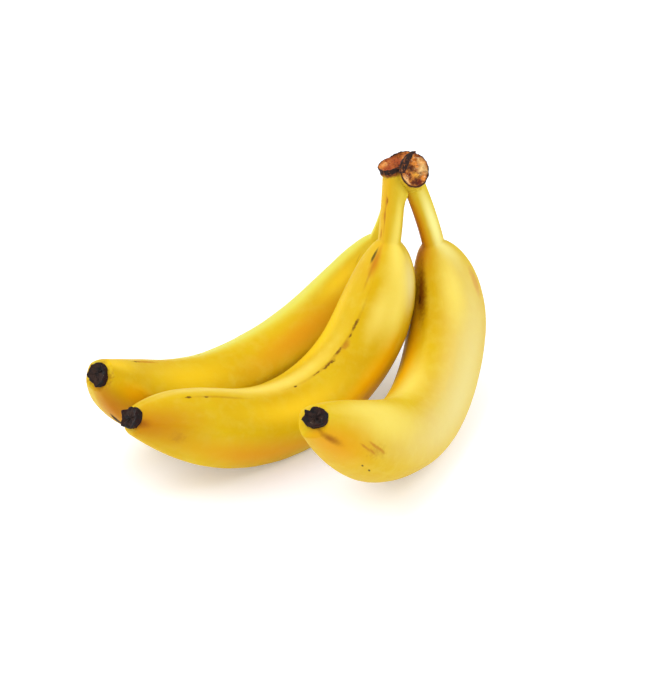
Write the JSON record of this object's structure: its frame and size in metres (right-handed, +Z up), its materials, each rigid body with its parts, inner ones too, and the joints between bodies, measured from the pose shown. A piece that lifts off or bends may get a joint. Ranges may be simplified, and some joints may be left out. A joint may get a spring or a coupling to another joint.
{
  "type": "bunch of bananas",
  "caption": "Small bunch of ripe yellow bananas joined at a cut brown crown, lying on their curved bellies with dark dried blossom ends.",
  "frame": {"origin": "on the ground, under the middle of the bunch's bounding box", "axes": "+Z up, -Y towards the viewer who sees the blossom ends at the lower left, +X to that viewer's right, where the crown is"},
  "size_m": [0.1748, 0.1633, 0.1185],
  "materials": {
    "peel": "ripe banana peel: waxy satin yellow with brown ridge marks, specks and bruises",
    "crown": "dried cut crown: matt dark brown skin round fibrous orange-brown cut faces",
    "blossom_end": "dried blossom remains: matt, crumpled, almost black brown"
  },
  "bodies": {
    "root": {"crown": "crown", "banana_left": "peel", "banana_middle": "peel", "banana_right": "peel", "blossom_end_left": "blossom_end", "blossom_end_middle": "blossom_end", "blossom_end_right": "blossom_end"}
  },
  "joints": []
}
